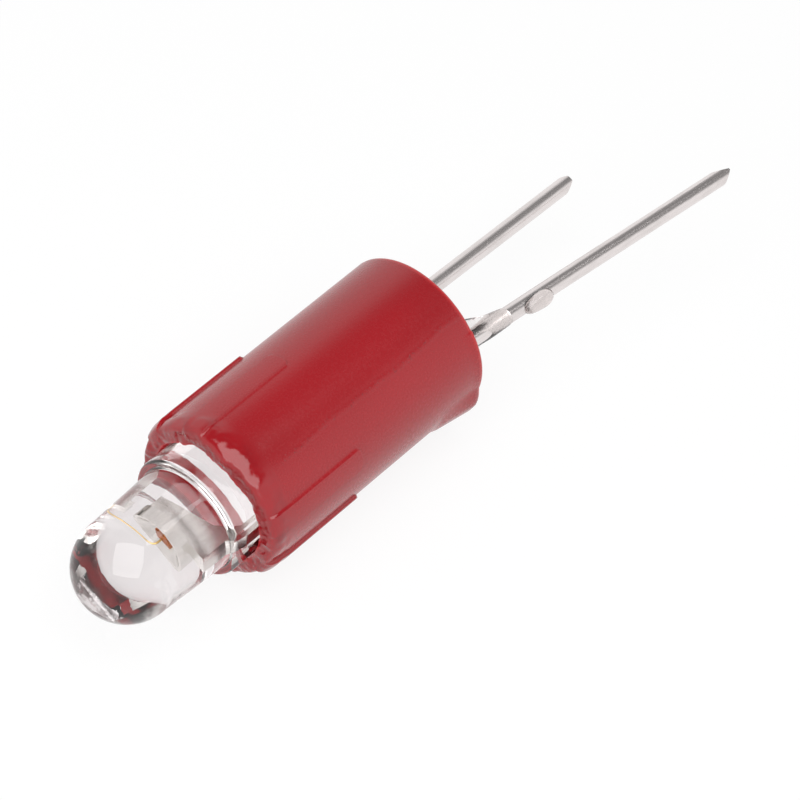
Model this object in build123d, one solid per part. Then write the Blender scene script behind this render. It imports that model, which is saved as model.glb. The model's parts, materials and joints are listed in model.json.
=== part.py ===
from build123d import *
from math import cos, radians, sin, tan
from typing import NamedTuple
import os

# LED indicator lamp: a clear LED seated in the mouth of a red moulded sleeve, with its series resistor and
# two contact leads potted in resin behind it. Millimetres. The lamp's axis is X, with the origin at the
# centre of the sleeve's mouth. The leads leave along +X and the dome points along -X. The lamp lies on two
# of its gripping ribs, and +Z is up. Angles round the axis start at the top, +Z, and grow to the front, -Y.

# Sleeve
BODY_RADIUS = 2.40
BODY_LENGTH = 8.35
MAIN_BORE_RADIUS = 1.85
MOUTH_EDGE_ROUND = 0.22
REAR_EDGE_ROUND = 0.10
SEAT_THICKNESS = 0.40
SEAT_CLEARANCE = 0.08

# Gripping ribs: equal spaces round the mouth end, with one space left bare
RIB_SPACES = 8
BARE_SPACE_ANGLE = 22.5
RIB_LENGTH = 3.35
RIB_WIDTH = 0.67
RIB_HEIGHT = 0.09
RIB_CORNER_ROUND = 0.15
RIB_ROOT = 0.30

# Keying lug and the low lip beside it, at the rear edge
LUG_START_ANGLE = 95.0
LUG_SPAN = 42.0
LUG_LENGTH = 1.65
LUG_FRONT_HEIGHT = 0.04
LUG_REAR_HEIGHT = 0.26
LUG_ROOT = 0.20
LIP_SPAN = 48.0
LIP_LENGTH = 0.34
LIP_HEIGHT = 0.05

# LED body
LENS_RADIUS = 1.49
LENS_DRAFT = 2.7
BARREL_LENGTH = 2.30
COLLAR_RADIUS = 1.82
COLLAR_LENGTH = 1.20
COLLAR_FLAT_DEPTH = 0.17
COLLAR_RECESS = 0.20
COLLAR_CLEARANCE = 0.05
LED_ANGLE = 87.5

# Stamped lead frames inside the LED, drawn in the plane of its two tails
FRAME_THICKNESS = 0.45
TAIL_WIDTH = 0.50
TAIL_PITCH = 2.54
TAIL_LENGTH = 1.50
POST_OFFSET = 1.15
POST_WIDTH = 0.35
CUP_RADIUS = 0.58
CUP_HEIGHT = 0.45
CUP_MOUTH_RADIUS = 0.52
CUP_FLOOR_RADIUS = 0.28
CUP_DEPTH = 0.30
CUP_RIM_BEHIND_DOME = 1.00
ANVIL_HEIGHT = 0.90
ANVIL_OVERHANG = 0.50
FLAG_HEIGHT = 0.30
FLAG_GAP = 0.14
CHIP_SIDE = 0.30
CHIP_HEIGHT = 0.20
CHIP_GLUE_RADIUS = 0.24
CHIP_GLUE_THICKNESS = 0.03
BOND_WIRE_RADIUS = 0.02
BOND_LOOP_HEIGHT = 0.30
BOND_LOOP_ROUND = 0.18

# Series resistor
WIRE_RADIUS = 0.25
RESISTOR_RADIUS = 0.80
RESISTOR_LENGTH = 3.30
RESISTOR_END_ROUND = 0.20
RESISTOR_ROD_RADIUS = 0.60
RESISTOR_CAP_WALL = 0.12
RESISTOR_CAP_LENGTH = 0.70
RESISTOR_COAT_OVER_CAP = 0.08
RESISTOR_GAP = 0.35

# Solder joints of the LED's tails
SOLDER_RADIUS = 0.60
SOLDER_LENGTH = 1.20
SOLDER_ROUND = 0.30
LAP_LENGTH = 1.10

# Contact leads. They cross the rear face in one plane, the long one close to the bore's wall, and are not
# quite parallel
EXIT_ANGLE = 67.5
EXIT_PITCH = 2.60
EXIT_WALL_CLEARANCE = 0.04
BEND_RADIUS = 0.60
BEND_START = 1.30
BEND_END = 0.50
KNEE_RADIUS = 6.0
TIP_CUT_ANGLE = 112.5


class Lead(NamedTuple):
    """A contact lead's free end. It leaves the sleeve at foot_splay degrees from the lamp's axis and, at the
    knee, bends slightly to splay. The cutter left an edge at its tip, land wide and shift off centre."""

    side: int
    foot_splay: float
    knee: float
    splay: float
    length: float
    near_cut: float
    far_cut: float
    land: float
    shift: float


SHORT_LEAD = Lead(
    side=-1, foot_splay=2.8, knee=1.0, splay=1.9, length=7.65,
    near_cut=0.18, far_cut=0.32, land=0.20, shift=0.05,
)
LONG_LEAD = Lead(
    side=1, foot_splay=8.0, knee=3.6, splay=8.6, length=10.20,
    near_cut=0.36, far_cut=0.38, land=0.05, shift=0.05,
)

# Potting resin, its run-up on the leads and the drop left on the long lead. Each run-up is a row of circles:
# height above the potting, thickness over the wire, and how far the circle leans towards the lamp's axis
POTTING_SET_BACK = 0.10
SHORT_RUN_UP = ((0.0, 0.35, 0.20), (0.45, 0.11, 0.06), (0.90, 0.02, 0.0))
LONG_RUN_UP = ((0.0, 0.55, 0.52), (0.75, 0.23, 0.26), (1.30, 0.09, 0.08), (1.90, 0.025, 0.0))
DROP_DISTANCE = 2.75
DROP_LENGTH = 1.10
DROP_RADIUS = 0.28
DROP_OVERHANG = 0.23

# Places that follow from the sizes above
MOUTH_X = 0.0
REAR_X = MOUTH_X + BODY_LENGTH
SEAT_X = MOUTH_X + COLLAR_RECESS
SEAT_BORE_RADIUS = TAIL_PITCH / 2 + TAIL_WIDTH / 2 + SEAT_CLEARANCE
COLLAR_FRONT_X = SEAT_X - COLLAR_LENGTH
DOME_X = COLLAR_FRONT_X - BARREL_LENGTH
CUP_RIM_X = DOME_X + CUP_RIM_BEHIND_DOME
ANVIL_X = CUP_RIM_X + CUP_HEIGHT
TAIL_END_X = SEAT_X + TAIL_LENGTH
SPLICE_OFFSET = TAIL_PITCH / 2 - TAIL_WIDTH / 2 - WIRE_RADIUS
SPLICE_X = TAIL_END_X - LAP_LENGTH
EXIT_SHIFT = MAIN_BORE_RADIUS - EXIT_WALL_CLEARANCE - WIRE_RADIUS - EXIT_PITCH / 2
RESISTOR_FRONT_X = TAIL_END_X + RESISTOR_GAP
RESISTOR_REAR_X = RESISTOR_FRONT_X + RESISTOR_LENGTH
CHIP_FLOOR_X = CUP_RIM_X + CUP_DEPTH
CHIP_TOP_X = CHIP_FLOOR_X - CHIP_GLUE_THICKNESS - CHIP_HEIGHT


def at_led(shape):
    """Turns a shape drawn with its tails one above the other to the LED's real angle."""
    return Rot(X=LED_ANGLE) * shape


def spot(x, offset, angle):
    """The point at x along the lamp that stands off its axis by offset at an angle from the top."""
    return Vector(x, -offset * sin(radians(angle)), offset * cos(radians(angle)))


def spun(*edges):
    """The solid that a closed outline in X and Z makes round the lamp's axis."""
    return revolve(Plane.XZ * make_face(edges), Axis.X)


def tube_along_x(radius, start, end, offset=0.0):
    """A round bar from start to end, with its axis off the lamp's axis by offset in the LED's plane."""
    return Pos(start, 0, offset) * extrude(Plane.YZ * Circle(radius), end - start)


# ---------------------------------------------------------------- sleeve

def outer_corners(outline):
    """The corners of an outline that lie furthest from the axis, from the mouth to the rear."""
    return outline.vertices().group_by(Axis.Y)[-1].sort_by(Axis.X)


def sleeve_envelope(radius):
    """A plain sleeve of one radius, with its mouth edge and rear edge rounded."""
    middle_x = (MOUTH_X + REAR_X) / 2
    outline = Pos(middle_x, radius / 2) * Rectangle(BODY_LENGTH, radius)
    outline = fillet(outer_corners(outline)[0], MOUTH_EDGE_ROUND)
    outline = fillet(outer_corners(outline)[-1], REAR_EDGE_ROUND)
    return revolve(Plane.XZ * outline, Axis.X)


def rib_at_top():
    """One gripping rib, rounded at its rear corners and flush with the mouth."""
    plan_length = RIB_LENGTH + RIB_WIDTH
    plan = RectangleRounded(plan_length, RIB_WIDTH, RIB_CORNER_ROUND)
    plan = Pos(MOUTH_X + RIB_LENGTH - plan_length / 2, 0, BODY_RADIUS - RIB_ROOT) * plan
    return extrude(plan, RIB_ROOT + 2 * RIB_HEIGHT) & sleeve_envelope(BODY_RADIUS + RIB_HEIGHT)


def wedge_at_top(length, front_height, rear_height, span):
    """A raised pad at the rear edge that climbs from front to rear, from the top round by span."""
    profile = Polyline(
        (REAR_X - length, BODY_RADIUS - LUG_ROOT),
        (REAR_X - length, BODY_RADIUS + front_height),
        (REAR_X - REAR_EDGE_ROUND, BODY_RADIUS + rear_height),
        (REAR_X, BODY_RADIUS + rear_height - REAR_EDGE_ROUND),
        (REAR_X, BODY_RADIUS - LUG_ROOT),
        close=True,
    )
    return revolve(Plane.XZ * make_face(profile), Axis.X, span)


def housing_sleeve():
    """The red moulded sleeve, bored through, with a thin ring inside its mouth that the LED seats on."""
    sleeve = sleeve_envelope(BODY_RADIUS)
    for space in range(1, RIB_SPACES):
        sleeve += Rot(X=BARE_SPACE_ANGLE + space * 360 / RIB_SPACES) * rib_at_top()
    lug = wedge_at_top(LUG_LENGTH, LUG_FRONT_HEIGHT, LUG_REAR_HEIGHT, LUG_SPAN)
    lip = wedge_at_top(LIP_LENGTH, 0, LIP_HEIGHT, LIP_SPAN)
    sleeve += Rot(X=LUG_START_ANGLE) * lug
    sleeve += Rot(X=LUG_START_ANGLE - LIP_SPAN) * lip
    sleeve -= tube_along_x(COLLAR_RADIUS + COLLAR_CLEARANCE, MOUTH_X, SEAT_X)
    sleeve -= tube_along_x(SEAT_BORE_RADIUS, SEAT_X, SEAT_X + SEAT_THICKNESS)
    sleeve -= tube_along_x(MAIN_BORE_RADIUS, SEAT_X + SEAT_THICKNESS, REAR_X)
    return sleeve


# ---------------------------------------------------------------- LED

def frame_plate(*points):
    """A flat piece of the lead frame with the outline of some points in X and Z."""
    outline = make_face(Polyline(*points, close=True))
    return extrude(Plane.XZ * outline, FRAME_THICKNESS / 2, both=True)


def cathode_frame():
    """The tail, post and anvil on the collar's flat side, with the reflector cup that holds the chip."""
    outer = TAIL_PITCH / 2 + TAIL_WIDTH / 2
    inner = TAIL_PITCH / 2 - TAIL_WIDTH / 2
    plate = frame_plate(
        (TAIL_END_X, outer),
        (SEAT_X - COLLAR_LENGTH / 2, outer),
        (COLLAR_FRONT_X, POST_OFFSET),
        (ANVIL_X, POST_OFFSET),
        (ANVIL_X, -ANVIL_OVERHANG),
        (ANVIL_X + ANVIL_HEIGHT / 2, -ANVIL_OVERHANG),
        (ANVIL_X + ANVIL_HEIGHT, POST_OFFSET / 2),
        (SEAT_X - COLLAR_LENGTH / 2, inner),
        (TAIL_END_X, inner),
    )
    cup = tube_along_x(CUP_RADIUS, CUP_RIM_X, ANVIL_X)
    hollow = spun(
        Polyline(
            (CUP_RIM_X, 0),
            (CUP_RIM_X, CUP_MOUTH_RADIUS),
            (CHIP_FLOOR_X, CUP_FLOOR_RADIUS),
            (CHIP_FLOOR_X, 0),
            close=True,
        )
    )
    return plate + cup - hollow


def anode_frame():
    """The tail and post on the far side from the flat, with the small flag where the bond wire lands."""
    outer = TAIL_PITCH / 2 + TAIL_WIDTH / 2
    inner = TAIL_PITCH / 2 - TAIL_WIDTH / 2
    flag_edge = CUP_RADIUS + FLAG_GAP
    post_edge = POST_OFFSET - POST_WIDTH
    return frame_plate(
        (TAIL_END_X, -outer),
        (SEAT_X - COLLAR_LENGTH / 2, -outer),
        (COLLAR_FRONT_X, -POST_OFFSET),
        (CUP_RIM_X, -POST_OFFSET),
        (CUP_RIM_X, -flag_edge),
        (CUP_RIM_X + FLAG_HEIGHT, -flag_edge),
        (CUP_RIM_X + FLAG_HEIGHT, -post_edge),
        (COLLAR_FRONT_X, -post_edge),
        (SEAT_X - COLLAR_LENGTH / 2, -inner),
        (TAIL_END_X, -inner),
    )


def chip_glue():
    """The thin spot of conductive glue on the cup's floor."""
    return tube_along_x(CHIP_GLUE_RADIUS, CHIP_FLOOR_X - CHIP_GLUE_THICKNESS, CHIP_FLOOR_X)


def led_chip():
    """The light-emitting chip, square on its glue."""
    middle = CHIP_TOP_X + CHIP_HEIGHT / 2
    return Pos(middle, 0, 0) * Box(CHIP_HEIGHT, CHIP_SIDE, CHIP_SIDE)


def bond_wire():
    """The fine wire that loops from the chip over the cup's rim to the anode's flag."""
    landing = -(CUP_RADIUS + FLAG_GAP + POST_OFFSET) / 2
    loop_x = CUP_RIM_X - BOND_LOOP_HEIGHT
    corners = [Vector(x, 0, z) for x, z in (
        (CHIP_TOP_X, 0),
        (loop_x, 0),
        (loop_x, landing),
        (CUP_RIM_X, landing),
    )]
    return round_wire(corners, BOND_WIRE_RADIUS, [BOND_LOOP_ROUND, BOND_LOOP_ROUND])


def led_lens():
    """The clear cast body: dome, drafted barrel and flatted collar."""
    tangent_x = DOME_X + LENS_RADIUS * sin(radians(LENS_DRAFT))
    tangent_z = LENS_RADIUS * cos(radians(LENS_DRAFT))
    foot_z = tangent_z + (COLLAR_FRONT_X - tangent_x) * tan(radians(LENS_DRAFT))
    body = spun(
        Polyline(
            (DOME_X - LENS_RADIUS, 0),
            (SEAT_X, 0),
            (SEAT_X, COLLAR_RADIUS),
            (COLLAR_FRONT_X, COLLAR_RADIUS),
            (COLLAR_FRONT_X, foot_z),
            (tangent_x, tangent_z),
        ),
        CenterArc((DOME_X, 0), LENS_RADIUS, 90 - LENS_DRAFT, 90 + LENS_DRAFT),
    )
    flat_z = COLLAR_RADIUS - COLLAR_FLAT_DEPTH
    offcut = Box(COLLAR_LENGTH, 2 * COLLAR_RADIUS, 2 * COLLAR_FLAT_DEPTH)
    return body - Pos(SEAT_X - COLLAR_LENGTH / 2, 0, flat_z + COLLAR_FLAT_DEPTH) * offcut


# ---------------------------------------------------------------- resistor, leads and solder

def round_wire(corners, radius, bend_radii):
    """A round wire through some corner points, with the radius of its bend at each."""
    path = FilletPolyline(*corners, radius=bend_radii)
    return sweep(Plane(origin=path @ 0, z_dir=path % 0) * Circle(radius), path)


def resistor_rod():
    """The ceramic rod, held in its two caps."""
    inset = RESISTOR_COAT_OVER_CAP + RESISTOR_CAP_WALL
    return tube_along_x(
        RESISTOR_ROD_RADIUS, RESISTOR_FRONT_X + inset, RESISTOR_REAR_X - inset, -SPLICE_OFFSET
    )


def resistor_cap(end_x, inward):
    """A pressed cap on one end of the rod; inward is +1 for the front cap and -1 for the rear one."""
    outer_x = end_x + inward * RESISTOR_COAT_OVER_CAP
    open_x = outer_x + inward * RESISTOR_CAP_LENGTH
    start, end = sorted((outer_x, open_x))
    radius = RESISTOR_ROD_RADIUS + RESISTOR_CAP_WALL
    return tube_along_x(radius, start, end, -SPLICE_OFFSET) - resistor_rod()


def resistor_coat():
    """The lacquer coat that goes over the rod and caps, rounded at its ends."""
    coat = tube_along_x(RESISTOR_RADIUS, RESISTOR_FRONT_X, RESISTOR_REAR_X, -SPLICE_OFFSET)
    return fillet(coat.edges().filter_by(GeomType.CIRCLE), RESISTOR_END_ROUND)


def resistor_front_lead():
    """The straight wire from the front cap to the anode's splice."""
    return tube_along_x(
        WIRE_RADIUS, SPLICE_X, RESISTOR_FRONT_X + RESISTOR_COAT_OVER_CAP, -SPLICE_OFFSET
    )


def solder_joint(side):
    """The solder round a tail and the wire beside it; side is +1 for the cathode and -1 for the anode."""
    middle_x = (SPLICE_X + TAIL_END_X) / 2
    middle_z = side * (TAIL_PITCH / 2 - TAIL_WIDTH / 2)
    start, end = middle_x - SOLDER_LENGTH / 2, middle_x + SOLDER_LENGTH / 2
    joint = tube_along_x(SOLDER_RADIUS, start, end, middle_z)
    return fillet(joint.edges().filter_by(GeomType.CIRCLE), SOLDER_ROUND)


def exit_spot(lead, beyond):
    """The point of a lead that lies so far beyond the sleeve's rear face."""
    to_knee = min(beyond, lead.knee)
    offset = lead.side * EXIT_PITCH / 2 + EXIT_SHIFT + to_knee * tan(radians(lead.foot_splay))
    offset += (beyond - to_knee) * tan(radians(lead.splay))
    return spot(REAR_X + beyond, offset, EXIT_ANGLE)


def tip_waste(lead):
    """What the cutter takes off a lead's end: all but a wedge."""
    reach = 2 * WIRE_RADIUS
    near_slope = lead.near_cut / (WIRE_RADIUS - lead.shift - lead.land / 2)
    far_slope = lead.far_cut / (WIRE_RADIUS + lead.shift - lead.land / 2)
    wedge = Polyline(
        (-reach, -2 * reach),
        (-reach, -lead.near_cut - (reach - WIRE_RADIUS) * near_slope),
        (-lead.shift - lead.land / 2, 0),
        (-lead.shift + lead.land / 2, 0),
        (reach, -lead.far_cut - (reach - WIRE_RADIUS) * far_slope),
        (reach, -2 * reach),
        close=True,
    )
    waste = Rectangle(2 * reach, 4 * reach) - make_face(wedge)
    tip = exit_spot(lead, lead.length)
    along = (tip - exit_spot(lead, lead.knee)).normalized()
    across = spot(0, 1, TIP_CUT_ANGLE)
    return extrude(Plane(origin=tip, x_dir=across, z_dir=across.cross(along)) * waste, reach, both=True)


def contact_lead(lead, start_x):
    """A contact lead from its start inside the potting, bent out to its free end, to its pinched tip."""
    corners = [
        spot(start_x, lead.side * SPLICE_OFFSET, LED_ANGLE),
        spot(REAR_X - BEND_START, lead.side * SPLICE_OFFSET, LED_ANGLE),
        exit_spot(lead, -BEND_END),
        exit_spot(lead, lead.knee),
        exit_spot(lead, lead.length),
    ]
    return round_wire(corners, WIRE_RADIUS, [BEND_RADIUS, BEND_RADIUS, KNEE_RADIUS]) - tip_waste(lead)


# ---------------------------------------------------------------- resin

def run_up(lead, circles):
    """The resin drawn up round a lead, leaning towards the lamp's axis at its foot."""
    sections = []
    for height, thickness, lean in circles:
        middle = exit_spot(lead, height - POTTING_SET_BACK) - spot(0, lead.side * lean, EXIT_ANGLE)
        sections.append(Plane(origin=middle, z_dir=(1, 0, 0)) * Circle(WIRE_RADIUS + thickness))
    return loft(sections)


def potting_resin():
    """The resin behind the LED, with its run-up on both leads."""
    resin = tube_along_x(SEAT_BORE_RADIUS, SEAT_X, SEAT_X + SEAT_THICKNESS)
    resin += tube_along_x(MAIN_BORE_RADIUS, SEAT_X + SEAT_THICKNESS, REAR_X - POTTING_SET_BACK)
    resin += run_up(SHORT_LEAD, SHORT_RUN_UP)
    resin += run_up(LONG_LEAD, LONG_RUN_UP)
    return resin


def resin_drop():
    """The drop of resin set on the outer side of the long lead."""
    middle = exit_spot(LONG_LEAD, DROP_DISTANCE)
    along = middle - exit_spot(LONG_LEAD, 0)
    outwards = WIRE_RADIUS + DROP_OVERHANG - DROP_RADIUS
    place = Plane(origin=middle + spot(0, outwards, EXIT_ANGLE), z_dir=along)
    drop = scale(Sphere(1), by=(DROP_RADIUS, DROP_RADIUS, DROP_LENGTH / 2))
    return place * drop


# ---------------------------------------------------------------- the lamp

def around(outer, *inner_pieces):
    """What is left of an outer piece that is cast, coated or soldered round some inner ones."""
    for piece in inner_pieces:
        outer -= piece
    return outer


def build_lamp():
    """Every piece of the lamp, by node name."""
    cathode, anode = at_led(cathode_frame()), at_led(anode_frame())
    in_led = {
        "cathode_frame": cathode,
        "anode_frame": anode,
        "chip_glue": at_led(chip_glue()),
        "led_chip": at_led(led_chip()),
        "bond_wire": at_led(bond_wire()),
    }
    short_lead = contact_lead(SHORT_LEAD, RESISTOR_REAR_X - RESISTOR_COAT_OVER_CAP)
    long_lead = contact_lead(LONG_LEAD, SPLICE_X)
    front_lead = at_led(resistor_front_lead())
    resistor = {
        "resistor_rod": at_led(resistor_rod()),
        "resistor_front_cap": at_led(resistor_cap(RESISTOR_FRONT_X, 1)),
        "resistor_rear_cap": at_led(resistor_cap(RESISTOR_REAR_X, -1)),
        "resistor_front_lead": front_lead,
        "short_lead": short_lead,
    }
    coat = around(at_led(resistor_coat()), *resistor.values())
    anode_solder = around(at_led(solder_joint(-1)), anode, front_lead)
    cathode_solder = around(at_led(solder_joint(1)), cathode, long_lead)
    potted = [cathode, anode, coat, anode_solder, cathode_solder, long_lead, *resistor.values()]
    return {
        "housing_sleeve": housing_sleeve(),
        "led_lens": around(at_led(led_lens()), *in_led.values()),
        **in_led,
        **resistor,
        "resistor_coat": coat,
        "long_lead": long_lead,
        "anode_solder": anode_solder,
        "cathode_solder": cathode_solder,
        "potting_resin": around(potting_resin(), *potted),
        "resin_drop": around(resin_drop(), long_lead),
    }


os.makedirs("parts", exist_ok=True)
for node, piece in build_lamp().items():
    export_step(piece, f"parts/{node}.step")
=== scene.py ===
"""Looks of an LED indicator lamp: a clear LED in a red ribbed sleeve, with two resin-potted wire leads.

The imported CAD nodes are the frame. The sleeve, the clear lens and the clear resins are rebuilt as closed
meshes in the same places, and every other node keeps its shape and gets a finish. Sizes in the classes are
millimetres, in the lamp's own frame: X from the sleeve's mouth to the leads, Z up.
"""

import json
import logging
import math
from collections.abc import Callable, Sequence
from dataclasses import dataclass
from enum import Enum

import bmesh
import bpy
import numpy as np
from mathutils import Matrix, Vector


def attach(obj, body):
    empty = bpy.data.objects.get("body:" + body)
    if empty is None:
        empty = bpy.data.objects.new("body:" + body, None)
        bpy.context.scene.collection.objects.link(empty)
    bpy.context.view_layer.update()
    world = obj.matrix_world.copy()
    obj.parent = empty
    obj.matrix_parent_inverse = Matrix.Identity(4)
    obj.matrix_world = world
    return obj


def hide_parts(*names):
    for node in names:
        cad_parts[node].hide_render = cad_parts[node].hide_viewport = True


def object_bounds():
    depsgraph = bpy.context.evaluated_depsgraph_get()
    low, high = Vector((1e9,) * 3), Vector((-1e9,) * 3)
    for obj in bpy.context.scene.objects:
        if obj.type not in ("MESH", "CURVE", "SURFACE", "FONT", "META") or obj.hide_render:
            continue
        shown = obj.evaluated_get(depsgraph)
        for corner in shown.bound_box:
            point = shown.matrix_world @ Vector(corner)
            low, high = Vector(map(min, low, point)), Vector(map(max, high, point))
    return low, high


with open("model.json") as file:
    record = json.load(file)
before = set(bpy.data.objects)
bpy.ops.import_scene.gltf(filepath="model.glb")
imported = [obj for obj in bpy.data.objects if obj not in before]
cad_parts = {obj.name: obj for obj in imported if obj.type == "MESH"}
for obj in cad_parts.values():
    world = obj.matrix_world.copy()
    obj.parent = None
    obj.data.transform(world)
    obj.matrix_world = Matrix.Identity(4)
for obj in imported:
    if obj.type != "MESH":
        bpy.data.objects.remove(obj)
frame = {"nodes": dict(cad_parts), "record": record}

MM = 0.001
BODY = "root"
SEEN_BOUNDS = [list(corner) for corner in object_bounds()]
Rgb = tuple[float, float, float]
Rings = list[list[tuple[float, float, float]]]
Circles = tuple[tuple[float, float, float], ...]

log = logging.getLogger("led_lamp")


class Slot(Enum):
    """The record's material slots."""

    RED_PLASTIC = "red_plastic"
    CLEAR_EPOXY = "clear_epoxy"
    LEAD_FRAME = "lead_frame"
    SILVER_GLUE = "silver_glue"
    CHIP = "chip"
    GOLD_WIRE = "gold_wire"
    CERAMIC_ROD = "ceramic_rod"
    CAP_METAL = "cap_metal"
    RESISTOR_LACQUER = "resistor_lacquer"
    TINNED_WIRE = "tinned_wire"
    SOLDER = "solder"
    CLEAR_RESIN = "clear_resin"


# ---------------------------------------------------------------- nodes


class Sock:
    """A node's output socket, whose arithmetic adds Math nodes to its tree."""

    def __init__(self, maker: "NodeMaker", socket: bpy.types.NodeSocket) -> None:
        """Wraps a socket of the maker's tree."""
        self.maker = maker
        self.socket = socket

    def __add__(self, other: "Sock | float") -> "Sock":
        """self + other."""
        return self.maker.math("ADD", self, other)

    def __radd__(self, other: float) -> "Sock":
        """other + self."""
        return self.maker.math("ADD", other, self)

    def __sub__(self, other: "Sock | float") -> "Sock":
        """self - other."""
        return self.maker.math("SUBTRACT", self, other)

    def __rsub__(self, other: float) -> "Sock":
        """other - self."""
        return self.maker.math("SUBTRACT", other, self)

    def __mul__(self, other: "Sock | float") -> "Sock":
        """self * other."""
        return self.maker.math("MULTIPLY", self, other)

    def __rmul__(self, other: float) -> "Sock":
        """other * self."""
        return self.maker.math("MULTIPLY", other, self)

    def __truediv__(self, other: "Sock | float") -> "Sock":
        """self / other."""
        return self.maker.math("DIVIDE", self, other)

    def __rtruediv__(self, other: float) -> "Sock":
        """other / self."""
        return self.maker.math("DIVIDE", other, self)

    def __abs__(self) -> "Sock":
        """The size of self without its sign."""
        return self.maker.math("ABSOLUTE", self)

    def step(self, low: "Sock | float", high: "Sock | float") -> "Sock":
        """A smooth step of self.

        Args:
            low: the value at which the step is still 0.
            high: the value from which the step is 1; under low, the step falls instead.

        Returns:
            The step, from 0 to 1.
        """
        if isinstance(low, (int, float)) and isinstance(high, (int, float)) and high < low:
            return 1.0 - self.step(high, low)
        made = self.maker.add(
            "ShaderNodeMapRange",
            {"interpolation_type": "SMOOTHSTEP"},
            {"Value": self, "From Min": low, "From Max": high},
        )
        return made["Result"]

    def least(self, other: "Sock | float") -> "Sock":
        """The smaller of self and other."""
        return self.maker.math("MINIMUM", self, other)

    def most(self, other: "Sock | float") -> "Sock":
        """The larger of self and other."""
        return self.maker.math("MAXIMUM", self, other)


class Made:
    """A node that was added, with its outputs by name or number."""

    def __init__(self, maker: "NodeMaker", node: bpy.types.Node) -> None:
        """Wraps a node of the maker's tree."""
        self.maker = maker
        self.node = node

    def __getitem__(self, key: str | int) -> Sock:
        """The output socket with that name or number."""
        return Sock(self.maker, self.node.outputs[key])


class NodeMaker:
    """Adds nodes to one tree."""

    def __init__(self, tree: bpy.types.NodeTree) -> None:
        """Works on that tree."""
        self.tree = tree

    def add(self, kind: str, settings: dict | None = None, inputs: dict | None = None) -> Made:
        """Adds a node.

        Args:
            kind: the node's type.
            settings: what is set on the node first; stops are a colour ramp's positions and colours.
            inputs: values or sockets for its inputs, by name or number.

        Returns:
            The node.
        """
        node = self.tree.nodes.new(kind)
        for name, value in (settings or {}).items():
            if name == "stops":
                self._set_stops(node, value)
            else:
                setattr(node, name, value)
        for key, value in (inputs or {}).items():
            if isinstance(value, Sock):
                self.tree.links.new(value.socket, node.inputs[key])
            else:
                node.inputs[key].default_value = value
        return Made(self, node)

    @staticmethod
    def _set_stops(node: bpy.types.Node, stops: Sequence[tuple[float, Rgb]]) -> None:
        """Gives a colour ramp its stops."""
        elements = node.color_ramp.elements
        while len(elements) < len(stops):
            elements.new(1.0)
        for element, (position, colour) in zip(elements, stops):
            element.position = position
            element.color = (*colour, 1.0)

    def math(self, operation: str, *values: Sock | float) -> Sock:
        """Adds a Math node.

        Args:
            operation: the node's operation.
            values: its inputs in order.

        Returns:
            Its result.
        """
        return self.add("ShaderNodeMath", {"operation": operation}, dict(enumerate(values)))[0]

    def mix(self, factor: Sock, low: Sock | Rgb, high: Sock | Rgb) -> Sock:
        """Mixes two colours.

        Args:
            factor: 0 gives low, 1 gives high.
            low: the first colour.
            high: the second colour.

        Returns:
            The mixed colour.
        """
        sides = [side if isinstance(side, Sock) else (*side, 1.0) for side in (low, high)]
        made = self.add("ShaderNodeMix", {"data_type": "RGBA"}, {0: factor, 6: sides[0], 7: sides[1]})
        return made[2]

    def noise(self, place: Sock, grain: float, detail: float = 3.0, rough: float = 0.55) -> Sock:
        """Adds a noise.

        Args:
            place: the coordinates it reads.
            grain: the size of its grains, in the coordinates' own unit.
            detail: how many finer layers it has.
            rough: how strong those are.

        Returns:
            The noise, about 0.5 on average.
        """
        inputs = {"Vector": place, "Scale": 1 / grain, "Detail": detail, "Roughness": rough}
        return self.add("ShaderNodeTexNoise", {"noise_dimensions": "3D"}, inputs)[0]

    def stretched(self, place: Sock, stretch: Sequence[float]) -> Sock:
        """The coordinates place, multiplied by stretch along X, Y and Z."""
        return self.add("ShaderNodeMapping", {"vector_type": "POINT"}, {"Vector": place, "Scale": stretch})[0]

    def parts(self, vector: Sock) -> tuple[Sock, Sock, Sock]:
        """The X, Y and Z of a vector."""
        made = self.add("ShaderNodeSeparateXYZ", None, {0: vector})
        return made[0], made[1], made[2]

    def turn_angle(self, y: Sock, z: Sock) -> Sock:
        """The angle round the lamp's axis in degrees, from the top towards the front, from -180 to 180."""
        return self.math("ARCTAN2", y * -1.0, z) * (180 / math.pi)


# ---------------------------------------------------------------- finishes


@dataclass(frozen=True)
class Finish:
    """What every finish is: a slot's name and a shader with its own pattern."""

    slot: Slot
    colour: Rgb
    roughness: float

    def material(self) -> bpy.types.Material:
        """Builds the finish's material."""
        made = bpy.data.materials.new(self.slot.value)
        made.use_nodes = True
        made.node_tree.nodes.clear()
        nodes = NodeMaker(made.node_tree)
        shader = nodes.add("ShaderNodeBsdfPrincipled", None, {"Roughness": self.roughness, **self.fixed()})
        place = nodes.add("ShaderNodeTexCoord")["Object"]
        for name, value in self.pattern(nodes, place).items():
            nodes.tree.links.new(value.socket, shader.node.inputs[name])
        nodes.add("ShaderNodeOutputMaterial", None, {"Surface": shader["BSDF"]})
        return made

    def fixed(self) -> dict:
        """The shader's values that are the same all over."""
        return {}

    def pattern(self, nodes: NodeMaker, place: Sock) -> dict[str, Sock]:
        """What varies over the surface.

        Args:
            nodes: adds nodes to the material.
            place: the object's coordinates, in metres.

        Returns:
            A socket for each of the shader's inputs that varies.
        """
        raise NotImplementedError

    @staticmethod
    def bump(nodes: NodeMaker, height: Sock, depth: float) -> Sock:
        """A Bump node's normal for a height of 0 to 1 that stands for that many metres."""
        inputs = {"Strength": 1.0, "Distance": depth, "Height": height}
        return nodes.add("ShaderNodeBump", None, inputs)["Normal"]


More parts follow.
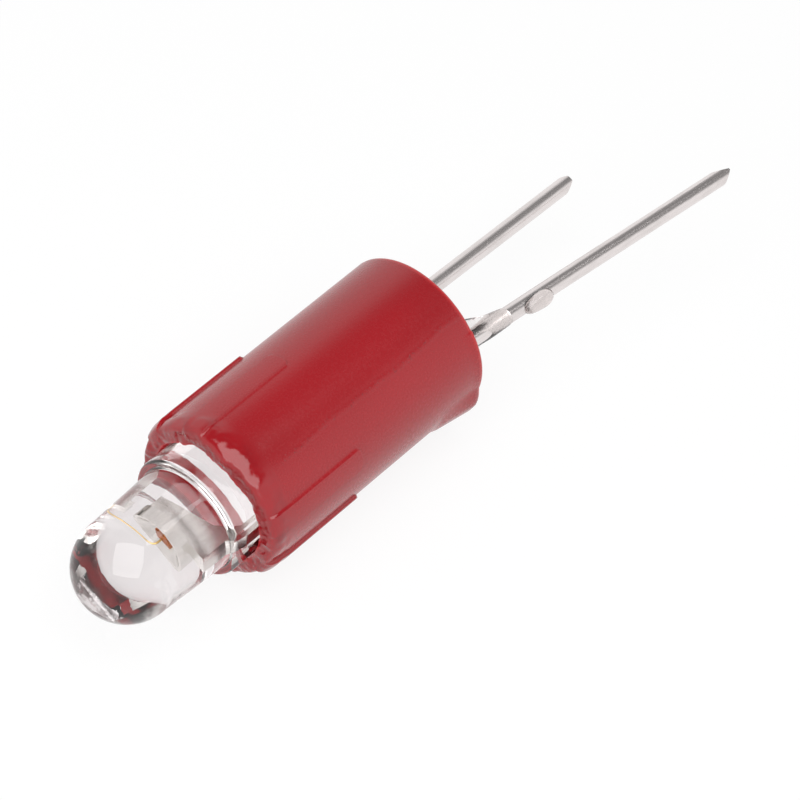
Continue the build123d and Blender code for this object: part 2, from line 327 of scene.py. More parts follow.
@dataclass(frozen=True)
class MouldedRed(Finish):
    """Red moulded plastic with a faint orange peel, a knit line, and a scorched, reflowed mouth."""

    deep: Rgb = (0.290, 0.0, 0.0045)
    # Painted glow: an emission colour on the bore's inner wall that stands in for light coming through the
    # red plastic.
    painted_bore_glow: Rgb = (0.13, 0.005, 0.007)
    # Painted highlight: a brighter red for the band round the rear rim, standing in for light on that rounded
    # edge.
    rim: Rgb = (0.52, 0.010, 0.012)
    knit_angle: float = 33.0
    mouth_end: float = 0.75
    # Where along the lamp the painted rim highlight starts and ends.
    rim_highlight_start: float = 8.16
    rim_highlight_end: float = 8.30
    # Radii over which the painted glow on the bore's inner wall fades out.
    painted_glow_radii: tuple[float, float] = (1.86, 1.95)

    def fixed(self) -> dict:
        """Plastic's gloss, and the strength of the painted glow in the bore."""
        return {"IOR": 1.46, "Specular IOR Level": 0.8, "Emission Strength": 1.0}

    def pattern(self, nodes: NodeMaker, place: Sock) -> dict[str, Sock]:
        """Faint clouds, knit line specks, orange peel, the mouth's folds, a painted highlight on the rear
        rim, and a painted glow on the bore's inner wall that stands in for light coming through the red
        plastic.

        Args:
            nodes: adds nodes to the material.
            place: the object's coordinates, in metres.

        Returns:
            Base colour with the painted rim highlight, roughness, emission colour for the painted bore glow,
            and normal.
        """
        x, y, z = nodes.parts(place)
        angle = nodes.turn_angle(y, z)
        clouds = nodes.noise(nodes.stretched(place, (0.35, 1, 1)), 2.2 * MM, 1.0)
        peel = nodes.noise(place, 0.10 * MM, 3.0, 0.6)
        folds = nodes.noise(nodes.stretched(place, (1.6, 1, 1)), 0.75 * MM, 1.5, 0.45)
        specks = nodes.noise(place, 0.055 * MM, 2.0, 0.7).step(0.60, 0.74)
        wander = (nodes.noise(place, 1.6 * MM, 2.0) - 0.5) * 8.0
        knit = (abs(angle + wander - self.knit_angle)).step(3.2, 0.4) * x.step(0.6 * MM, 1.4 * MM)
        knit_specks = knit * specks
        mouth = x.step(self.mouth_end * MM, 0.10 * MM)
        # Painted highlight: mask of the band round the rear rim that is painted brighter red.
        rim = x.step(self.rim_highlight_start * MM, self.rim_highlight_end * MM)
        body = nodes.mix(clouds.step(0.30, 0.72), self.deep, self.colour)
        body = nodes.mix(knit_specks * 0.55, body, (0.10, 0.004, 0.006))
        body = nodes.mix(mouth * folds.step(0.50, 0.70) * 0.4, body, (0.17, 0.0, 0.004))
        body = nodes.mix(rim * 0.8, body, self.rim)
        rough = self.roughness + (peel - 0.5) * 0.14 + knit_specks * 0.2 - mouth * 0.13
        height = peel * 0.06 + knit * (0.14 + specks * 0.3) + mouth * folds * 0.9
        # Mask of the bore's inner wall, where the painted glow goes.
        inside = nodes.math("SQRT", y * y + z * z).step(self.painted_glow_radii[1] * MM, self.painted_glow_radii[0] * MM)
        return {
            "Base Color": body,
            "Roughness": rough,
            "Emission Color": nodes.mix(inside, (0.0, 0.0, 0.0), self.painted_bore_glow),
            "Normal": self.bump(nodes, height, 0.05 * MM),
        }


@dataclass(frozen=True)
class Clear(Finish):
    """A clear cast resin with faint flow marks and haze."""

    ior: float = 1.53
    haze: float = 0.0
    swirl_grain: float = 0.55
    swirl_depth: float = 0.006

    def fixed(self) -> dict:
        """Glass-like, with its own refraction."""
        return {"Transmission Weight": 1.0, "IOR": self.ior}

    def pattern(self, nodes: NodeMaker, place: Sock) -> dict[str, Sock]:
        """Flow marks in the surface and patches of haze.

        Args:
            nodes: adds nodes to the material.
            place: the object's coordinates, in metres.

        Returns:
            Base colour, roughness and normal.
        """
        swirl = nodes.noise(nodes.stretched(place, (0.8, 1, 1)), self.swirl_grain * MM, 2.0, 0.5)
        dust = nodes.noise(place, 0.12 * MM, 3.0, 0.6).step(0.60, 0.78)
        tint = nodes.mix(swirl, self.colour, tuple(0.965 * part for part in self.colour))
        rough = self.roughness + dust * 0.02 + self.haze * swirl
        return {
            "Base Color": tint,
            "Roughness": rough,
            "Normal": self.bump(nodes, swirl, self.swirl_depth * MM),
        }


@dataclass(frozen=True)
class Metal(Finish):
    """A metal with marks drawn or rolled along the lamp, and dull patches."""

    dull: Rgb = (0.42, 0.38, 0.36)
    mark_stretch: tuple[float, float, float] = (0.06, 1.0, 1.0)
    mark_grain: float = 0.05
    mark_depth: float = 0.0022
    patch_grain: float = 0.5
    patches: float = 0.5

    def fixed(self) -> dict:
        """All metal."""
        return {"Metallic": 1.0}

    def pattern(self, nodes: NodeMaker, place: Sock) -> dict[str, Sock]:
        """Marks along the lamp and dull patches.

        Args:
            nodes: adds nodes to the material.
            place: the object's coordinates, in metres.

        Returns:
            Base colour, roughness and normal.
        """
        marks = nodes.noise(nodes.stretched(place, self.mark_stretch), self.mark_grain * MM, 3.0, 0.6)
        patch = nodes.noise(nodes.stretched(place, (0.5, 1, 1)), self.patch_grain * MM, 3.0, 0.6)
        pits = nodes.noise(place, 0.045 * MM, 1.0, 0.5).step(0.66, 0.74)
        worn = patch.step(0.42, 0.72) * self.patches
        tone = nodes.mix(worn, self.colour, self.dull)
        tone = nodes.mix(marks.step(0.35, 0.75) * 0.22, tone, tuple(0.72 * part for part in self.colour))
        rough = self.roughness + worn * 0.08 + (marks - 0.5) * 0.08 + pits * 0.06
        height = marks - pits * 0.3
        return {
            "Base Color": tone,
            "Roughness": rough,
            "Normal": self.bump(nodes, height, self.mark_depth * MM),
        }


@dataclass(frozen=True)
class Opaque(Finish):
    """A dull solid, such as fired ceramic, lacquer or a sawn chip, with mottling and fine grain."""

    dark: Rgb = (0.3, 0.2, 0.1)
    mottle_grain: float = 0.3
    grain_depth: float = 0.008

    def pattern(self, nodes: NodeMaker, place: Sock) -> dict[str, Sock]:
        """Mottling and grain.

        Args:
            nodes: adds nodes to the material.
            place: the object's coordinates, in metres.

        Returns:
            Base colour, roughness and normal.
        """
        mottle = nodes.noise(place, self.mottle_grain * MM, 4.0, 0.6)
        grain = nodes.noise(place, self.mottle_grain * 0.15 * MM, 2.0, 0.6)
        return {
            "Base Color": nodes.mix(mottle.step(0.35, 0.68), self.colour, self.dark),
            "Roughness": self.roughness + (grain - 0.5) * 0.2,
            "Normal": self.bump(nodes, grain, self.grain_depth * MM),
        }


FINISHES: tuple[Finish, ...] = (
    MouldedRed(Slot.RED_PLASTIC, (0.335, 0.0005, 0.006), 0.27),
    Clear(Slot.CLEAR_EPOXY, (0.885, 0.845, 0.85), 0.0),
    Metal(Slot.LEAD_FRAME, (0.80, 0.78, 0.75), 0.16, dull=(0.50, 0.46, 0.42), patches=0.35),
    Opaque(Slot.SILVER_GLUE, (0.55, 0.54, 0.52), 0.45, dark=(0.35, 0.34, 0.33), mottle_grain=0.08),
    Opaque(Slot.CHIP, (0.75, 0.22, 0.05), 0.35, dark=(0.42, 0.10, 0.02), mottle_grain=0.12),
    Metal(Slot.GOLD_WIRE, (0.90, 0.66, 0.28), 0.20, dull=(0.60, 0.42, 0.20), mark_grain=0.01),
    Opaque(Slot.CERAMIC_ROD, (0.80, 0.78, 0.72), 0.55, dark=(0.64, 0.61, 0.55)),
    Metal(Slot.CAP_METAL, (0.66, 0.64, 0.61), 0.28),
    Opaque(Slot.RESISTOR_LACQUER, (0.56, 0.42, 0.24), 0.30, dark=(0.42, 0.29, 0.15), mottle_grain=0.6),
    Metal(Slot.TINNED_WIRE, (0.80, 0.745, 0.735), 0.24, dull=(0.62, 0.575, 0.56), patches=0.4),
    Metal(Slot.SOLDER, (0.70, 0.69, 0.68), 0.24, mark_stretch=(1.0, 1.0, 1.0), mark_grain=0.25),
    Clear(
        Slot.CLEAR_RESIN, (0.96, 0.94, 0.93), 0.03, ior=1.50, haze=0.05, swirl_grain=0.30, swirl_depth=0.02,
    ),
)


class Wardrobe:
    """Every finish's material, and the record's slot for each CAD node."""

    def __init__(self, record: dict) -> None:
        """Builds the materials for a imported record."""
        self.materials = {finish.slot: finish.material() for finish in FINISHES}
        self.slot_of = {part["node"]: Slot(part["material_slot"]) for part in record["subparts"]}

    def dress(self, piece: bpy.types.Object, slot: Slot) -> None:
        """Gives a piece one finish all over.

        Args:
            piece: the piece or CAD node.
            slot: the finish's slot.
        """
        piece.data.materials.clear()
        piece.data.materials.append(self.materials[slot])

    def dress_nodes(self, nodes: dict[str, bpy.types.Object]) -> None:
        """Gives every CAD node its finish."""
        for name, node in nodes.items():
            self.dress(node, self.slot_of[name])
            log.info("node %s gets %s", name, self.slot_of[name].value)


# ---------------------------------------------------------------- meshes


def rings_mesh(name: str, rings: Rings, looped: bool) -> bpy.types.Mesh:
    """Joins rings of points into a closed mesh with its faces outwards.

    Args:
        name: the mesh's name.
        rings: rings with the same number of points each, in millimetres.
        looped: whether the last ring joins the first; if not, both ends are closed by a fan of faces.

    Returns:
        The mesh, in millimetres.
    """
    count = len(rings[0])
    points = [point for ring in rings for point in ring]
    faces = []
    for row in range(len(rings) - (0 if looped else 1)):
        start, after = row * count, (row + 1) % len(rings) * count
        for step in range(count):
            ahead = (step + 1) % count
            faces.append((start + step, start + ahead, after + ahead, after + step))
    if not looped:
        for start in (0, (len(rings) - 1) * count):
            middle = tuple(np.mean(points[start:start + count], axis=0))
            points.append(middle)
            faces += [(start + step, start + (step + 1) % count, len(points) - 1) for step in range(count)]
    mesh = bpy.data.meshes.new(name)
    mesh.from_pydata(points, [], faces)
    shape = bmesh.new()
    shape.from_mesh(mesh)
    bmesh.ops.recalc_face_normals(shape, faces=shape.faces)
    shape.to_mesh(mesh)
    shape.free()
    return mesh


def spun_rings(profile: Sequence[tuple[float, float]], count: int) -> Rings:
    """The rings that a profile makes round the lamp's axis.

    Args:
        profile: points as (x, radius), in millimetres.
        count: how many points each ring has, from the top round.

    Returns:
        One ring for each point of the profile.
    """
    turns = [2 * math.pi * step / count for step in range(count)]
    return [[(x, -radius * math.sin(a), radius * math.cos(a)) for a in turns] for x, radius in profile]


def arc(
    centre: tuple[float, float], radius: float, start: float, end: float, steps: int
) -> list[tuple[float, float]]:
    """Points on an arc.

    Args:
        centre: its centre, as (x, radius).
        radius: its own radius.
        start: the angle where it starts, in degrees from the X axis.
        end: the angle where it ends.
        steps: how many spans it has.

    Returns:
        The points, both ends included.
    """
    angles = [math.radians(start + (end - start) * step / steps) for step in range(steps + 1)]
    return [(centre[0] + radius * math.cos(a), centre[1] + radius * math.sin(a)) for a in angles]


def span(start: float, end: float, steps: int) -> list[float]:
    """Evenly spaced values after start, up to end."""
    return [start + (end - start) * (step + 1) / steps for step in range(steps)]


def finished(
    obj: bpy.types.Object, node: str, slot: Slot, wardrobe: Wardrobe, sharp: float
) -> bpy.types.Object:
    """Turns a piece drawn in millimetres into a finished one that stands for a CAD node.

    Args:
        obj: the piece; its modifiers are worked out and removed.
        node: the CAD node that it stands for.
        slot: its finish.
        wardrobe: the materials.
        sharp: the angle in degrees over which an edge stays sharp.

    Returns:
        The piece.
    """
    evaluated = obj.evaluated_get(bpy.context.evaluated_depsgraph_get())
    mesh = bpy.data.meshes.new_from_object(evaluated)
    obj.modifiers.clear()
    obj.data = mesh
    mesh.transform(Matrix.Scale(MM, 4))
    mesh.shade_smooth()
    mesh.set_sharp_from_angle(angle=math.radians(sharp))
    wardrobe.dress(obj, slot)
    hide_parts(node)
    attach(obj, BODY)
    log.info("piece %s stands for %s, %d faces", obj.name, node, len(mesh.polygons))
    return obj


def new_object(name: str, mesh: bpy.types.Mesh) -> bpy.types.Object:
    """Links a new object with that mesh to the scene."""
    obj = bpy.data.objects.new(name, mesh)
    bpy.context.scene.collection.objects.link(obj)
    return obj


# ---------------------------------------------------------------- sleeve


@dataclass
class Sleeve:
    """The red moulded sleeve: a bored tube with gripping ribs, a keying lug and a reflowed mouth."""

    radius: float = 2.40
    length: float = 8.35
    bore: float = 1.85
    recess_radius: float = 1.87
    recess_depth: float = 0.20
    seat_radius: float = 1.60
    seat_thickness: float = 0.40
    mouth_round: float = 0.22
    rear_round: float = 0.10
    rib_spaces: int = 8
    bare_angle: float = 22.5
    rib_length: float = 3.35
    rib_width: float = 0.67
    rib_height: float = 0.09
    rib_corner: float = 0.15
    lug_start: float = 95.0
    lug_end: float = 137.0
    lug_length: float = 1.65
    lug_front: float = 0.04
    lug_rear: float = 0.26
    lug_edge: float = 0.62
    lip_start: float = 47.0
    lip_length: float = 0.34
    lip_height: float = 0.05
    around: int = 480

    def profile(self) -> list[tuple[float, float, float]]:
        """The tube's closed outline.

        Returns:
            Points as (x, radius, lift), where lift says how much of a raised pad the point takes part in.
        """
        rim = self.radius - self.mouth_round
        points = [(x, r, (r - rim) / self.mouth_round) for x, r in
                  arc((self.mouth_round, rim), self.mouth_round, 180, 90, 8)]
        rear = self.length - self.rear_round
        stops = ((0.65, 12), (3.05, 28), (3.45, 14), (6.60, 30), (6.80, 7), (rear, 16))
        x = self.mouth_round
        for stop, steps in stops:
            points += [(value, self.radius, 1.0) for value in span(x, stop, steps)]
            x = stop
        edge = arc((x, self.radius - self.rear_round), self.rear_round, 90, 0, 4)[1:]
        points += [(a, b, 1.0) for a, b in edge]
        seat_x = self.recess_depth + self.seat_thickness
        depth = self.radius - self.rear_round - self.bore
        points += [(self.length, r, (r - self.bore) / depth) for r in
                   span(self.radius - self.rear_round, self.bore, 5)]
        points += [(value, self.bore, 0.0) for value in span(self.length, seat_x, 10)]
        points += [(seat_x, r, 0.0) for r in span(self.bore, self.seat_radius, 3)]
        points += [(value, self.seat_radius, 0.0) for value in span(seat_x, self.recess_depth, 3)]
        points += [(self.recess_depth, r, 0.0) for r in span(self.seat_radius, self.recess_radius, 3)]
        points += [(value, self.recess_radius, 0.0) for value in span(self.recess_depth, 0.0, 5)]
        return points + [(0.0, r, 0.0) for r in span(self.recess_radius, rim, 10)[:-1]]

    def rule(self, material: bpy.types.Material) -> bpy.types.NodeTree:
        """Builds the Geometry Nodes tree that raises the ribs, the lug and the lip, and folds the mouth.

        Args:
            material: what Set Material gives the result.

        Returns:
            The tree, with named inputs for the sizes.
        """
        tree = bpy.data.node_groups.new("sleeve_rule", "GeometryNodeTree")
        tree.interface.new_socket("Geometry", in_out="INPUT", socket_type="NodeSocketGeometry")
        for name in self.inputs():
            tree.interface.new_socket(name, in_out="INPUT", socket_type="NodeSocketFloat")
        tree.interface.new_socket("Geometry", in_out="OUTPUT", socket_type="NodeSocketGeometry")
        nodes = NodeMaker(tree)
        given = nodes.add("NodeGroupInput")
        place = nodes.add("GeometryNodeInputPosition")[0]
        lift = nodes.add("GeometryNodeInputNamedAttribute", {"data_type": "FLOAT"}, {"Name": "lift"})[0]
        x, y, z = nodes.parts(place)
        angle = nodes.turn_angle(y, z)
        angle = angle + 360.0 * angle.step(0.0, -0.001)
        raised = self._ribs(nodes, given, x, angle).most(self._pads(nodes, given, x, angle)) * lift
        folds, push = self._mouth(nodes, given, place, x, angle)
        radius = nodes.math("SQRT", y * y + z * z)
        outwards = (radius + raised + folds) / radius
        moved = nodes.add("ShaderNodeCombineXYZ", None, {0: x + push, 1: y * outwards, 2: z * outwards})[0]
        inputs = {"Geometry": given["Geometry"], "Position": moved}
        shape = nodes.add("GeometryNodeSetPosition", None, inputs)[0]
        shape = nodes.add("GeometryNodeRealizeInstances", None, {"Geometry": shape})[0]
        shape = nodes.add("GeometryNodeSetMaterial", None, {"Geometry": shape, "Material": material})[0]
        nodes.add("NodeGroupOutput", None, {"Geometry": shape})
        return tree

    def inputs(self) -> dict[str, float]:
        """The rule's named sizes and its seed."""
        return {
            "Rib pitch": 360 / self.rib_spaces,
            "Bare angle": self.bare_angle,
            "Rib length": self.rib_length,
            "Rib width": self.rib_width,
            "Rib height": self.rib_height,
            "Rib corner": self.rib_corner,
            "Lug start": self.lug_start,
            "Lug end": self.lug_end,
            "Lug length": self.lug_length,
            "Lug front": self.lug_front,
            "Lug rear": self.lug_rear,
            "Lip start": self.lip_start,
            "Lip length": self.lip_length,
            "Lip height": self.lip_height,
            "Seed": 7.0,
        }

    def _ribs(self, nodes: NodeMaker, given: Made, x: Sock, angle: Sock) -> Sock:
        """The ribs' height at each point.

        Args:
            nodes: adds nodes to the rule.
            given: the rule's inputs.
            x: the place along the lamp.
            angle: the angle round it, from 0 to 360.

        Returns:
            The height.
        """
        turned = angle - given["Bare angle"]
        space = nodes.math("ROUND", turned / given["Rib pitch"])
        across = abs(turned - space * given["Rib pitch"]) * (math.pi / 180 * self.radius)
        half = given["Rib width"] / 2.0 - given["Rib corner"]
        over_x = (x - (given["Rib length"] - given["Rib corner"])).most(0.0)
        over_y = (across - half).most(0.0)
        inside = given["Rib corner"] - nodes.math("SQRT", over_x * over_x + over_y * over_y)
        bare = abs(turned).step(18.0, 18.1) * abs(turned - 360.0).step(18.0, 18.1)
        return inside.step(-0.018, 0.018) * given["Rib height"] * bare

    def _pads(self, nodes: NodeMaker, given: Made, x: Sock, angle: Sock) -> Sock:
        """The height of the lug and the lip at each point.

        Args:
            nodes: not used.
            given: the rule's inputs.
            x: the place along the lamp.
            angle: the angle round it, from 0 to 360.

        Returns:
            The height.
        """
        front = self.length - given["Lug length"]
        climb = (x - front) / (given["Lug length"] - self.rear_round)
        lug = given["Lug front"] + (given["Lug rear"] - given["Lug front"]) * climb.least(1.0)
        lug = lug * (x - front).step(-0.02, 0.30)
        lug = lug * (self.lug_edge + (1 - self.lug_edge) * (x - self.length).step(0.0, -0.25))
        lug = lug * (angle - given["Lug start"]).step(-5.0, 13.0)
        lug = lug * (given["Lug end"] - angle).step(-0.9, 3.0)
        rise = (x - (self.length - given["Lip length"])) / given["Lip length"]
        lip = given["Lip height"] * rise.most(0.0).least(1.0)
        lip = lip * (angle - given["Lip start"]).step(-0.9, 0.9)
        lip = lip * (given["Lug start"] - angle).step(-0.9, 0.9)
        return lug.most(lip)

    def _mouth(self, nodes: NodeMaker, given: Made, place: Sock, x: Sock, angle: Sock) -> tuple[Sock, Sock]:
        """The reflowed mouth: soft folds round its outer edge and lumps on its face.

        Args:
            nodes: adds nodes to the rule.
            given: the rule's inputs.
            place: the point itself.
            x: the place along the lamp.
            angle: not used.

        Returns:
            The push away from the axis and the push along it.
        """
        shifted = nodes.add("ShaderNodeVectorMath", {"operation": "ADD"}, {0: place, 1: given["Seed"]})[0]
        broad = nodes.noise(shifted, 0.9, 2.0) - 0.5
        fine = nodes.noise(shifted, 0.40, 1.5) - 0.5
        near = x.step(0.60, 0.05)
        front = x.step(0.24, 0.0)
        folds = near * (broad * 0.16 + fine * 0.06 - 0.01)
        push = front * (broad * 0.26 + fine * 0.12 - 0.20)
        return folds, push

    def build(self, wardrobe: Wardrobe) -> bpy.types.Object:
        """Builds the sleeve.

        Args:
            wardrobe: the materials.

        Returns:
            The piece that stands for the CAD sleeve.
        """
        profile = self.profile()
        mesh = rings_mesh("red_sleeve", spun_rings([(x, r) for x, r, _ in profile], self.around), True)
        lift = mesh.attributes.new("lift", "FLOAT", "POINT")
        lift.data.foreach_set("value", np.repeat([share for _, _, share in profile], self.around))
        sleeve = new_object("red_sleeve", mesh)
        tree = self.rule(wardrobe.materials[Slot.RED_PLASTIC])
        modifier = sleeve.modifiers.new("sleeve_rule", "NODES")
        modifier.node_group = tree
        sizes = self.inputs()
        for item in tree.interface.items_tree:
            if item.in_out == "INPUT" and item.name in sizes:
                modifier[item.identifier] = sizes[item.name]
        return finished(sleeve, "housing_sleeve", Slot.RED_PLASTIC, wardrobe, 50)


# ---------------------------------------------------------------- clear pieces


@dataclass
class Lens:
    """The LED's clear body: a dome on a drafted barrel, and a collar with one flat."""

    radius: float = 1.49
    draft: float = 2.7
    dome_x: float = -3.30
    collar_x: float = -1.00
    collar_radius: float = 1.82
    back_x: float = 0.19
    flat: float = 1.65
    led_angle: float = 87.5
    edge_round: float = 0.10
    foot_round: float = 0.06
    around: int = 256

    def profile(self) -> list[tuple[float, float]]:
        """The outline from the dome's tip to the back, as (x, radius)."""
        dome = arc((self.dome_x, 0.0), self.radius, 179.2, 90 - self.draft, 44)
        slope = math.tan(math.radians(self.draft))
        start_x, start_r = dome[-1]
        foot_x = self.collar_x - self.foot_round
        foot_r = start_r + (foot_x - start_x) * slope
        barrel = [(x, start_r + (x - start_x) * slope) for x in span(start_x, foot_x, 18)]
        foot = arc((foot_x, foot_r + self.foot_round), self.foot_round, 270, 360, 5)[1:]
        shoulder_r = self.collar_radius - self.edge_round
        shoulder = [(self.collar_x, r) for r in span(foot_r + self.foot_round, shoulder_r, 3)]
        edge = arc((self.collar_x + self.edge_round, shoulder_r), self.edge_round, 180, 90, 6)[1:]
        side = [(x, self.collar_radius) for x in span(self.collar_x + self.edge_round, self.back_x, 8)]
        back = [(self.back_x, r) for r in span(self.collar_radius, 0.02, 8)]
        return dome + barrel + foot + shoulder + edge + side + back

    def build(self, wardrobe: Wardrobe) -> bpy.types.Object:
        """Builds the lens.

        Args:
            wardrobe: the materials.

        Returns:
            The piece that stands for the CAD lens.
        """
        rings = spun_rings(self.profile(), self.around)
        rings = [[(x, y, min(z, self.flat)) for x, y, z in ring] for ring in rings]
        mesh = rings_mesh("clear_lens", rings, False)
        mesh.transform(Matrix.Rotation(math.radians(self.led_angle), 4, "X"))
        return finished(new_object("clear_lens", mesh), "led_lens", Slot.CLEAR_EPOXY, wardrobe, 32)


@dataclass
class LeadPath:
    """The straight foot of a contact lead, where resin clings to it."""

    side: int
    splay: float
    pitch: float = 2.60
    shift: float = 0.26
    angle: float = 67.5
    rear_x: float = 8.35

    def spot(self, beyond: float, aside: float = 0.0) -> Vector:
        """A point beside the lead.

        Args:
            beyond: how far beyond the sleeve's rear face.
            aside: how far from the lead's middle, away from the lamp's axis.

        Returns:
            The point, in millimetres.
        """
        spread = beyond * math.tan(math.radians(self.splay))
        offset = self.side * (self.pitch / 2 + aside) + self.shift + spread
        turn = math.radians(self.angle)
        return Vector((self.rear_x + beyond, -offset * math.sin(turn), offset * math.cos(turn)))


SHORT_PATH = LeadPath(-1, 2.8)
LONG_PATH = LeadPath(1, 8.0)


@dataclass
class Potting:
    """The clear resin that fills the sleeve behind the LED and is drawn up round both leads."""

    front_x: float = 0.21
    seat_radius: float = 1.59
    seat_end_x: float = 0.62
    radius: float = 1.845
    rear_x: float = 8.25
    meniscus: float = 0.06
    meniscus_width: float = 0.22
    around: int = 96
    voxel: float = 0.045
    run_rows: int = 26
    run_around: int = 40
    short_run: Circles = ((-0.7, 0.75, 0.20), (0.0, 0.60, 0.20), (0.40, 0.37, 0.06), (0.90, 0.262, 0.0))
    long_run: Circles = (
        (-0.9, 1.0, 0.52), (0.0, 0.78, 0.52), (0.70, 0.48, 0.26), (1.25, 0.35, 0.08), (1.90, 0.268, 0.0),
    )

    @staticmethod
    def eased(height: float, heights: np.ndarray, values: np.ndarray) -> float:
        """Reads a smooth curve through given heights and values.

        Args:
            height: where it is read.
            heights: the given heights, rising.
            values: the value at each.

        Returns:
            The curve's value there.
        """
        slopes = np.gradient(values, heights)
        row = int(np.clip(np.searchsorted(heights, height) - 1, 0, len(heights) - 2))
        wide = heights[row + 1] - heights[row]
        t = (height - heights[row]) / wide
        start = (2 * t**3 - 3 * t**2 + 1) * values[row] + (t**3 - 2 * t**2 + t) * wide * slopes[row]
        end = (3 * t**2 - 2 * t**3) * values[row + 1] + (t**3 - t**2) * wide * slopes[row + 1]
        return float(start + end)

    def run_up(self, path: LeadPath, circles: Circles) -> Rings:
        """The rings of the resin drawn up round a lead.

        Args:
            path: the lead.
            circles: height above the potting, radius, and lean towards the lamp's axis.

        Returns:
            The rings, smoothly spaced.
        """
        rows = np.array(circles)
        heights = np.linspace(rows[0, 0], rows[-1, 0], self.run_rows)
        turns = [2 * math.pi * step / self.run_around for step in range(self.run_around)]
        rings = []
        for height in heights:
            radius = self.eased(height, rows[:, 0], rows[:, 1])
            lean = self.eased(height, rows[:, 0], rows[:, 2])
            middle = path.spot(height + self.rear_x - path.rear_x, -lean)
            circle = [(radius * math.sin(a), radius * math.cos(a)) for a in turns]
            rings.append([(middle.x, middle.y + y, middle.z + z) for y, z in circle])
        return rings

    def build(self, wardrobe: Wardrobe) -> bpy.types.Object:
        """Builds the potting.

        Args:
            wardrobe: the materials.

        Returns:
            The piece that stands for the CAD potting.
        """
        fill = [(self.front_x, 0.02), (self.front_x, self.seat_radius), (self.seat_end_x, self.seat_radius)]
        fill += [(self.seat_end_x, self.radius), (self.rear_x + self.meniscus, self.radius)]
        fill += [(self.rear_x, self.radius - self.meniscus_width), (self.rear_x, 0.02)]
        whole = bmesh.new()
        short, long = self.run_up(SHORT_PATH, self.short_run), self.run_up(LONG_PATH, self.long_run)
        for rings in (spun_rings(fill, self.around), short, long):
            part = rings_mesh("part", rings, False)
            whole.from_mesh(part)
            bpy.data.meshes.remove(part)
        mesh = bpy.data.meshes.new("clear_potting")
        whole.to_mesh(mesh)
        whole.free()
        potting = new_object("clear_potting", mesh)
        remesh = potting.modifiers.new("one_skin", "REMESH")
        remesh.mode = "VOXEL"
        remesh.voxel_size = self.voxel
        smooth = potting.modifiers.new("soft", "SMOOTH")
        smooth.factor = 0.5
        smooth.iterations = 9
        return finished(potting, "potting_resin", Slot.CLEAR_RESIN, wardrobe, 60)


@dataclass
class Drop:
    """The drop of resin that hangs on the long lead."""

    distance: float = 2.75
    half_length: float = 0.53
    radius: float = 0.275
    shift: float = 0.20
    around: int = 48
    rows: int = 40

    def build(self, wardrobe: Wardrobe) -> bpy.types.Object:
        """Builds the drop.

        Args:
            wardrobe: the materials.

        Returns:
            The piece that stands for the CAD drop.
        """
        middle = LONG_PATH.spot(self.distance, self.shift)
        along = (LONG_PATH.spot(self.distance) - LONG_PATH.spot(0)).normalized()
        turned = along.to_track_quat("X", "Z").to_matrix()
        rings = []
        for step in range(1, self.rows):
            a = math.pi * step / self.rows
            lump = 1.0 + 0.05 * math.sin(3.1 * a + 0.6)
            radius = self.radius * math.sin(a) ** 0.85 * lump
            ring = []
            for turn in range(self.around):
                b = 2 * math.pi * turn / self.around
                point = Vector((-self.half_length * math.cos(a), radius * math.cos(b), radius * math.sin(b)))
                ring.append(tuple(middle + turned @ point))
            rings.append(ring)
        drop = new_object("clear_drop", rings_mesh("clear_drop", rings, False))
        return finished(drop, "resin_drop", Slot.CLEAR_RESIN, wardrobe, 60)


# ---------------------------------------------------------------- studio


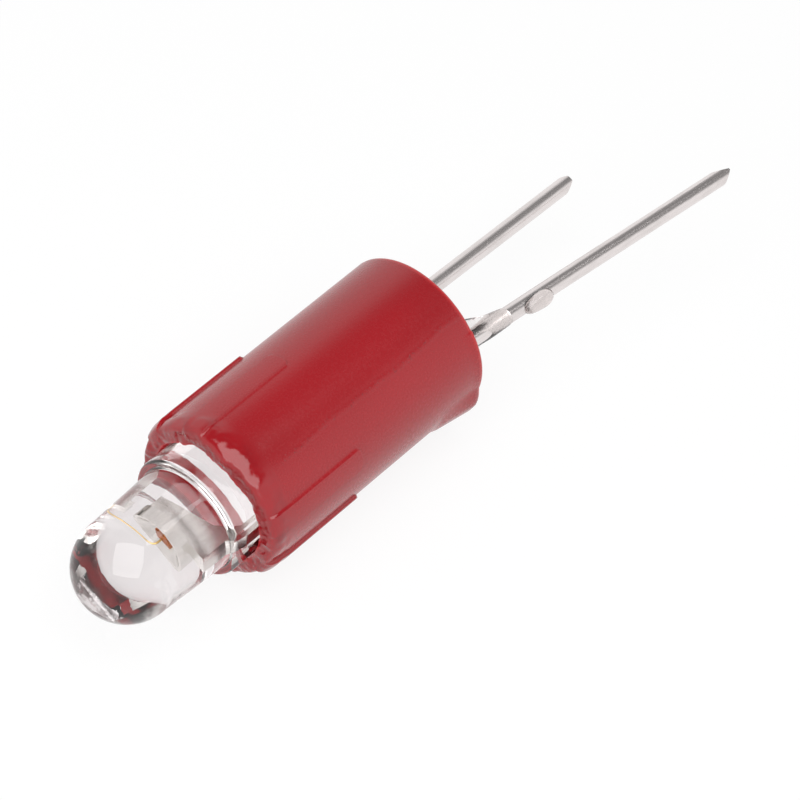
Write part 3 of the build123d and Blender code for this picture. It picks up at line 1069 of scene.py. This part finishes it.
@dataclass
class Studio:
    """The pale floor, the soft lights and the camera."""

    floor_size: float = 3000.0
    target: tuple[float, float, float] = (4.860, -2.092, 1.945)
    azimuth: float = -58.94
    elevation: float = 51.24
    roll: float = 12.60
    distance: float = 106.5
    lens: float = 180.0
    fill_light: float = 0.42
    floor_glow: float = 0.88
    ceiling_dark: float = 0.78
    softbox_place: tuple[float, float, float] = (-24.0, -18.0, 80.0)
    softbox_size: tuple[float, float] = (98.0, 118.0)
    softbox_radiance: float = 2.5

    def floor(self) -> None:
        """Lays the floor under the lamp's lowest point."""
        low = SEEN_BOUNDS[0][2] / MM
        half = self.floor_size / 2
        mesh = bpy.data.meshes.new("floor")
        corners = [(-half, -half, low), (half, -half, low), (half, half, low), (-half, half, low)]
        mesh.from_pydata([tuple(MM * c for c in corner) for corner in corners], [], [(0, 1, 2, 3)])
        floor = new_object("floor", mesh)
        made = bpy.data.materials.new("floor_paper")
        made.use_nodes = True
        made.node_tree.nodes.clear()
        nodes = NodeMaker(made.node_tree)
        path = nodes.add("ShaderNodeLightPath")
        seen = path["Is Camera Ray"].most(path["Is Glossy Ray"]).most(path["Is Transmission Ray"])
        grain = nodes.noise(nodes.add("ShaderNodeTexCoord")["Object"], 0.4 * MM)
        tone = nodes.mix(grain, (0.90, 0.90, 0.90), (0.93, 0.93, 0.93))
        paper = nodes.add("ShaderNodeBsdfDiffuse", None, {"Color": tone})["BSDF"]
        white = nodes.add("ShaderNodeEmission", None, {"Color": (1, 1, 1, 1), "Strength": 1.0})["Emission"]
        mixed = nodes.add("ShaderNodeMixShader", None, {0: seen * self.floor_glow, 1: paper, 2: white})[0]
        nodes.add("ShaderNodeOutputMaterial", None, {"Surface": mixed})
        mesh.materials.append(made)

    def world(self) -> None:
        """Makes a white surround with a darker ceiling in reflections."""
        world = bpy.data.worlds.new("studio")
        bpy.context.scene.world = world
        world.use_nodes = True
        world.node_tree.nodes.clear()
        nodes = NodeMaker(world.node_tree)
        path = nodes.add("ShaderNodeLightPath")
        _, _, up = nodes.parts(nodes.add("ShaderNodeTexCoord")["Generated"])
        ceiling = up.step(0.52, 0.78)
        glossy = 1.0 - ceiling * self.ceiling_dark
        seen = path["Is Camera Ray"].most(path["Is Transmission Ray"])
        shiny = path["Is Glossy Ray"]
        strength = self.fill_light * (1.0 - shiny) * (1.0 - seen) + shiny * (1.0 - seen) * glossy + seen
        inputs = {"Color": (1, 1, 1, 1), "Strength": strength}
        back = nodes.add("ShaderNodeBackground", None, inputs)["Background"]
        nodes.add("ShaderNodeOutputWorld", None, {"Surface": back})

    def softbox(self, name: str, middle: Sequence[float], size: tuple[float, float], radiance: float) -> None:
        """Hangs a softbox that faces the lamp.

        Args:
            name: the light's name.
            middle: the middle of its face, in millimetres.
            size: its width and height, in millimetres.
            radiance: how bright its face is, where 1 is white.
        """
        light = bpy.data.lights.new(name, "AREA")
        light.shape = "RECTANGLE"
        light.size, light.size_y = size[0] * MM, size[1] * MM
        light.energy = radiance * math.pi * light.size * light.size_y
        lamp = bpy.data.objects.new(name, light)
        bpy.context.scene.collection.objects.link(lamp)
        lamp.location = Vector(middle) * MM
        lamp.rotation_mode = "QUATERNION"
        lamp.rotation_quaternion = Vector(middle).to_track_quat("Z", "Y")

    def camera(self) -> None:
        """Sets up the camera."""
        data = bpy.data.cameras.new("camera")
        data.lens = self.lens
        data.clip_start, data.clip_end = 0.005, 20.0
        camera = bpy.data.objects.new("camera", data)
        bpy.context.scene.collection.objects.link(camera)
        a, e, r = (math.radians(v) for v in (self.azimuth, self.elevation, self.roll))
        back = Vector((math.sin(a) * math.cos(e), -math.cos(a) * math.cos(e), math.sin(e)))
        level = Vector((math.cos(a), math.sin(a), 0.0))
        rise = back.cross(level)
        right = level * math.cos(r) + rise * math.sin(r)
        up = rise * math.cos(r) - level * math.sin(r)
        turn = Matrix((right, up, back)).transposed().to_4x4()
        place = (Vector(self.target) + back * self.distance) * MM
        camera.matrix_world = Matrix.Translation(place) @ turn
        bpy.context.scene.camera = camera

    def build(self) -> None:
        """Builds the studio."""
        self.floor()
        self.world()
        self.softbox("overhead", self.softbox_place, self.softbox_size, self.softbox_radiance)
        self.camera()
        settings = bpy.context.scene.view_settings
        settings.view_transform = "Standard"


def main() -> None:
    """Builds the lamp's looks in order and reports each piece."""
    logging.basicConfig(level=logging.INFO, format="%(name)s: %(message)s")
    wardrobe = Wardrobe(frame["record"])
    wardrobe.dress_nodes(frame["nodes"])
    builders: tuple[Callable[[Wardrobe], bpy.types.Object], ...] = (
        Sleeve().build, Lens().build, Potting().build, Drop().build,
    )
    for build in builders:
        build(wardrobe)
    Studio().build()


if __name__ == "__main__":
    main()
